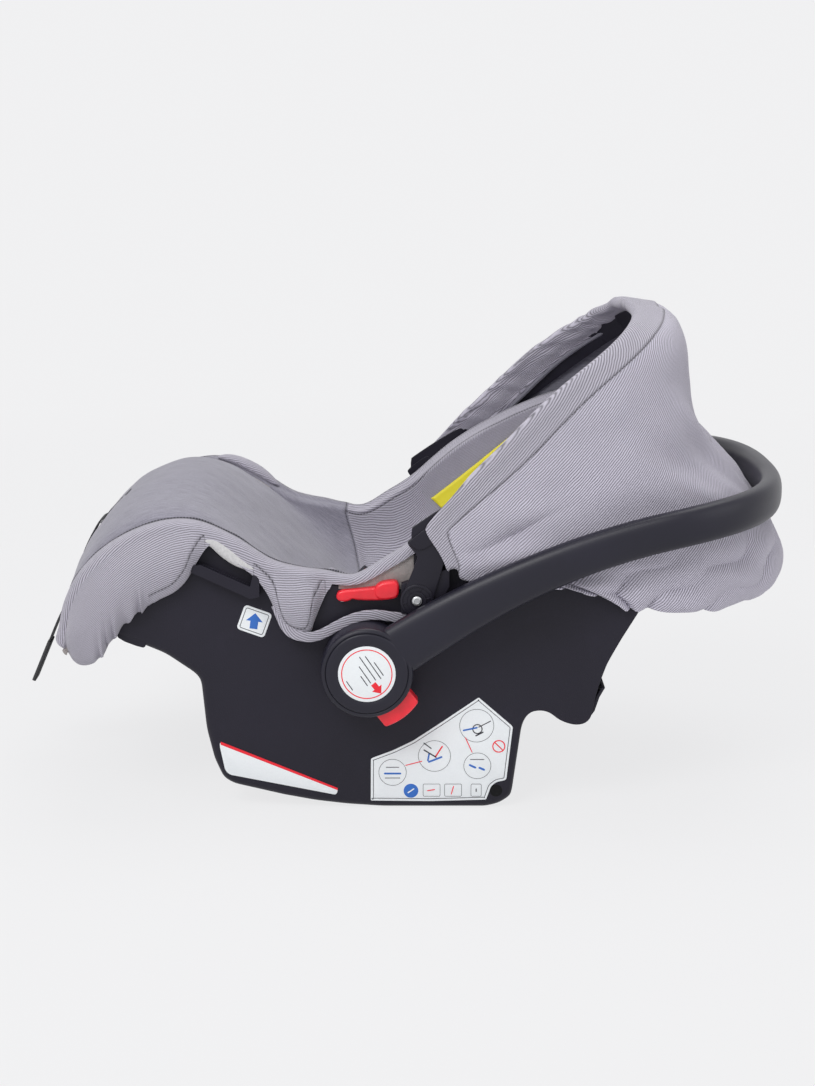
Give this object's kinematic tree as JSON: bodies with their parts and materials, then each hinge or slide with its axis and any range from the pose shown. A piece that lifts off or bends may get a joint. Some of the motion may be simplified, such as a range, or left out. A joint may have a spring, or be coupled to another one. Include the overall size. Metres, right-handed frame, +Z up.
{
  "type": "infant car seat",
  "caption": "Rear facing infant carrier with a moulded bucket on rocker skirts, a swinging carry handle, a folding cloth hood, a padded cover and a harness.",
  "frame": {"origin": "on the floor under the middle of the seat's overall box, measured without the loose end of the harness strap", "axes": "+X towards the head end, +Y towards the occupant's right, +Z up"},
  "size_m": [0.7771, 0.44, 0.477],
  "materials": {
    "shell_plastic": "charcoal, lightly grained",
    "handle_plastic": "charcoal, lightly grained",
    "hood_plastic": "charcoal, smooth",
    "buckle_plastic": "charcoal, smooth",
    "red_plastic": "red, satin gloss",
    "steel": "plain",
    "spring_steel": "plain",
    "cover_cloth": "lilac grey ribbed twill",
    "hood_cloth": "lilac grey ribbed twill",
    "pad_cloth": "grey",
    "webbing": "dark woven webbing"
  },
  "bodies": {
    "carrier": {"seat_shell": "shell_plastic", "side_skirt_left": "shell_plastic", "side_skirt_right": "shell_plastic", "front_cross_wall": "shell_plastic", "rear_cross_wall": "shell_plastic", "front_latch_rod": "steel", "rear_latch_rod": "steel", "adapter_socket_left": "shell_plastic", "adapter_socket_right": "shell_plastic", "hub_socket_left": "shell_plastic", "hub_socket_right": "shell_plastic", "hub_axle_left": "steel", "hub_axle_right": "steel", "belt_guide_left": "shell_plastic", "belt_guide_right": "shell_plastic", "rear_belt_hook": "shell_plastic", "hood_lug_left": "hood_plastic", "hood_lug_right": "hood_plastic", "hood_screw_left": "steel", "hood_screw_right": "steel", "lever_pin_left": "steel", "lever_pin_right": "steel", "seat_cover": "cover_cloth", "shoulder_strap_left": "webbing", "shoulder_strap_right": "webbing", "shoulder_pad_left": "pad_cloth", "shoulder_pad_right": "pad_cloth", "crotch_strap": "webbing", "crotch_pad": "pad_cloth", "buckle_body": "buckle_plastic", "buckle_tongue_left": "steel", "buckle_tongue_right": "steel", "adjuster_housing": "buckle_plastic", "adjuster_strap": "webbing", "harness_yoke": "steel"},
    "handle": {"handle_frame": "handle_plastic", "hub_cover_left": "handle_plastic", "hub_cover_right": "handle_plastic", "button_spring_left": "spring_steel", "button_spring_right": "spring_steel"},
    "release_left": {"release_button_left": "red_plastic"},
    "release_right": {"release_button_right": "red_plastic"},
    "lever_left": {"stroller_lever_left": "red_plastic"},
    "lever_right": {"stroller_lever_right": "red_plastic"},
    "canopy": {"hood_bracket_left": "hood_plastic", "hood_bracket_right": "hood_plastic", "hood_hoop": "hood_plastic", "hood_fabric": "hood_cloth"},
    "buckle_push": {"buckle_button": "red_plastic"},
    "adjuster_push": {"adjuster_button": "red_plastic"}
  },
  "joints": [
    {"name": "handle_swing", "type": "hinge", "parent": "carrier", "child": "handle", "pos_m": [-0.0525, 0, 0.148], "axis": [0, -1, 0], "range_deg": [0, 110]},
    {"name": "release_left_press", "type": "slide", "parent": "handle", "child": "release_left", "axis": [-0.6157, 0, 0.788], "range_m": [0, 0.006], "stiffness_N_per_m": 500, "springref_m": -0.002, "deforming": ["button_spring_left"]},
    {"name": "release_right_press", "type": "slide", "parent": "handle", "child": "release_right", "axis": [-0.6157, 0, 0.788], "range_m": [0, 0.006], "stiffness_N_per_m": 500, "springref_m": -0.002, "deforming": ["button_spring_right"]},
    {"name": "lever_left_lift", "type": "hinge", "parent": "carrier", "child": "lever_left", "pos_m": [-0.076, 0, 0.215], "axis": [0, -1, 0], "range_deg": [0, 6], "stiffness_Nm_per_rad": 0.6, "springref_deg": -5.73},
    {"name": "lever_right_lift", "type": "hinge", "parent": "carrier", "child": "lever_right", "pos_m": [-0.076, 0, 0.215], "axis": [0, -1, 0], "range_deg": [0, 6], "stiffness_Nm_per_rad": 0.6, "springref_deg": -5.73},
    {"name": "hood_fold", "type": "hinge", "parent": "carrier", "child": "canopy", "pos_m": [-0.005, 0, 0.213], "axis": [0, -1, 0], "range_deg": [-25, 35], "deforming": ["hood_fabric", "hood_hoop"]},
    {"name": "buckle_press", "type": "slide", "parent": "carrier", "child": "buckle_push", "axis": [-0.6743, 0, -0.7384], "range_m": [0, 0.003], "stiffness_N_per_m": 400, "springref_m": -0.002},
    {"name": "adjuster_press", "type": "slide", "parent": "carrier", "child": "adjuster_push", "axis": [0.7238, 0, -0.69], "range_m": [0, 0.002], "stiffness_N_per_m": 400, "springref_m": -0.002}
  ]
}
